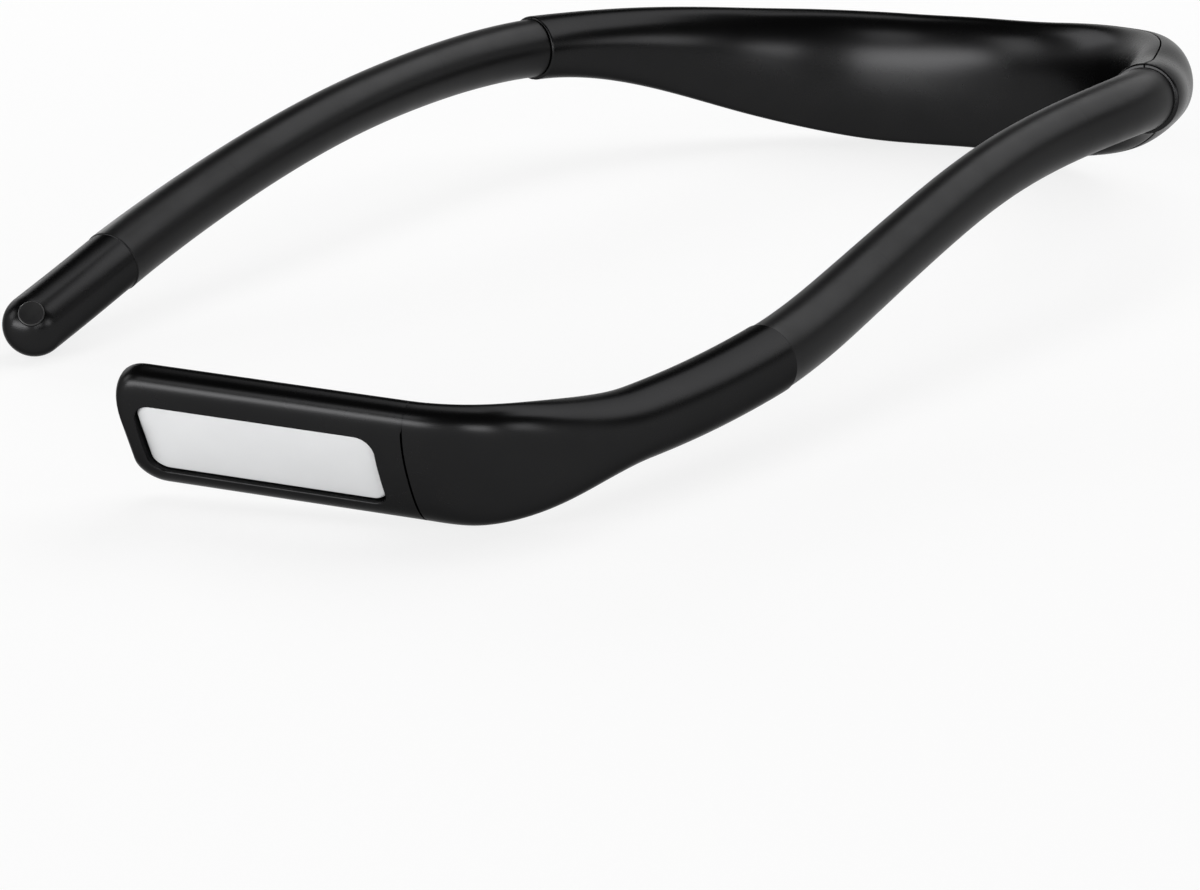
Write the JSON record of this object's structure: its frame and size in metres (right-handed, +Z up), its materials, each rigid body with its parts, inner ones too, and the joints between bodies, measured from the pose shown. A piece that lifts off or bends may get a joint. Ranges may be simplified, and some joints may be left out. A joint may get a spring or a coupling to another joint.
{
  "type": "neck reading light",
  "caption": "Rechargeable neck reading light: a flat curved rear housing, bendable sleeved arms, a switch cap on one arm and a flat tilted lamp head with a recessed diffuser on the other.",
  "frame": {"origin": "Middle of the footprint, on the surface that the light rests on.", "axes": "+Z is up. The arms point along -Y, away from the rear housing, and the lamp is on the +X side."},
  "size_m": [0.1852, 0.3306, 0.0453],
  "materials": {
    "gloss_shell": "gloss moulded black",
    "silicone": "matte moulded silicone",
    "core_steel": "bare wound steel",
    "ferrule_steel": "bare turned steel",
    "button": "satin moulded black",
    "diffuser": "frosted translucent white",
    "white_plastic": "matte moulded white",
    "light_board": "white coated metal board",
    "circuit_board": "green board",
    "component_black": "matte moulded black",
    "plated_steel": "plated",
    "rigid_black": "matte moulded black",
    "battery_wrap": "foil pouch",
    "pad": "foam adhesive pad",
    "lead": "insulated wire",
    "light_pipe": "clear moulded"
  },
  "bodies": {
    "housing": {"left_core_0": "core_steel", "left_sleeve_flex_1": "silicone", "left_sleeve_base": "silicone", "left_rear_ferrule": "ferrule_steel", "right_core_0": "core_steel", "right_sleeve_flex_1": "silicone", "right_sleeve_base": "silicone", "right_rear_ferrule": "ferrule_steel", "battery_cell": "battery_wrap", "battery_pad": "pad", "board_screw_1": "plated_steel", "board_screw_2": "plated_steel", "charge_light": "light_pipe", "driver_chip": "component_black", "housing_inner_shell": "gloss_shell", "housing_outer_shell": "gloss_shell", "lamp_lead": "lead", "main_board": "circuit_board", "switch_lead": "lead", "usb_socket": "plated_steel", "usb_tongue": "rigid_black"},
    "left_link_1": {"left_core_1": "core_steel", "left_sleeve_flex_2": "silicone", "left_sleeve_1": "silicone"},
    "left_link_2": {"left_core_2": "core_steel", "left_sleeve_flex_3": "silicone", "left_sleeve_2": "silicone"},
    "left_link_3": {"left_core_3": "core_steel", "left_sleeve_flex_4": "silicone", "left_sleeve_3": "silicone"},
    "left_cap": {"left_core_4": "core_steel", "left_sleeve_tip": "silicone", "left_front_ferrule": "ferrule_steel", "end_cap": "gloss_shell", "tact_switch": "component_black", "switch_board": "circuit_board", "switch_carrier": "rigid_black", "cap_lead": "lead"},
    "right_link_1": {"right_core_1": "core_steel", "right_sleeve_flex_2": "silicone", "right_sleeve_1": "silicone"},
    "right_link_2": {"right_core_2": "core_steel", "right_sleeve_flex_3": "silicone", "right_sleeve_2": "silicone"},
    "right_link_3": {"right_core_3": "core_steel", "right_sleeve_flex_4": "silicone", "right_sleeve_3": "silicone"},
    "lamp": {"right_core_4": "core_steel", "right_sleeve_tip": "silicone", "right_front_ferrule": "ferrule_steel", "neck_shell": "gloss_shell", "head_tongue": "rigid_black", "head_lead": "lead", "head_rear_shell": "gloss_shell", "head_front_frame": "gloss_shell", "diffuser": "diffuser", "reflector_frame": "white_plastic", "led_board": "light_board"},
    "power_button": {"power_button": "button", "switch_plunger": "white_plastic"}
  },
  "joints": [
    {"name": "left_bend_1_side", "type": "hinge", "parent": "housing", "child": "left_link_1", "pos_m": [-0.0858, 0.07085, 0.02981], "axis": [-0.0459, 0.0162, 0.9988], "range_deg": [-35, 35], "deforming": ["left_sleeve_flex_1"]},
    {"name": "left_bend_2_lift", "type": "hinge", "parent": "left_link_1", "child": "left_link_2", "pos_m": [-0.08538, 0.03108, 0.02931], "axis": [-0.9984, -0.0413, -0.039], "range_deg": [-35, 35], "deforming": ["left_sleeve_flex_2"]},
    {"name": "left_bend_3_side", "type": "hinge", "parent": "left_link_2", "child": "left_link_3", "pos_m": [-0.08422, -0.00848, 0.02537], "axis": [-0.0398, -0.1538, 0.9873], "range_deg": [-35, 35], "deforming": ["left_sleeve_flex_3"]},
    {"name": "left_bend_4_lift", "type": "hinge", "parent": "left_link_3", "child": "left_cap", "pos_m": [-0.08324, -0.04757, 0.01805], "axis": [-0.9985, -0.0376, -0.0393], "range_deg": [-35, 35], "deforming": ["left_sleeve_flex_4"]},
    {"name": "right_bend_1_side", "type": "hinge", "parent": "housing", "child": "right_link_1", "pos_m": [0.08583, 0.06462, 0.03869], "axis": [-0.0486, -0.0147, 0.9987], "range_deg": [-15, 35], "deforming": ["right_sleeve_flex_1"]},
    {"name": "right_bend_2_lift", "type": "hinge", "parent": "right_link_1", "child": "right_link_2", "pos_m": [0.08121, 0.02646, 0.03546], "axis": [-0.9951, 0.0863, -0.0492], "range_deg": [-35, 35], "deforming": ["right_sleeve_flex_2"]},
    {"name": "right_bend_3_side", "type": "hinge", "parent": "right_link_2", "child": "right_link_3", "pos_m": [0.07975, -0.01141, 0.02824], "axis": [-0.0492, -0.2249, 0.9731], "range_deg": [-25, 35], "deforming": ["right_sleeve_flex_3"]},
    {"name": "right_bend_4_lift", "type": "hinge", "parent": "right_link_3", "child": "lamp", "pos_m": [0.07974, -0.04907, 0.01977], "axis": [-0.9991, -0.0018, -0.0422], "range_deg": [-35, 35], "deforming": ["right_sleeve_flex_4"]},
    {"name": "button_press", "type": "slide", "parent": "left_cap", "child": "power_button", "axis": [-0.4681, 0.6483, -0.6005], "range_m": [0, 0.0004], "stiffness_N_per_m": 1500, "springref_m": -0.0002}
  ]
}
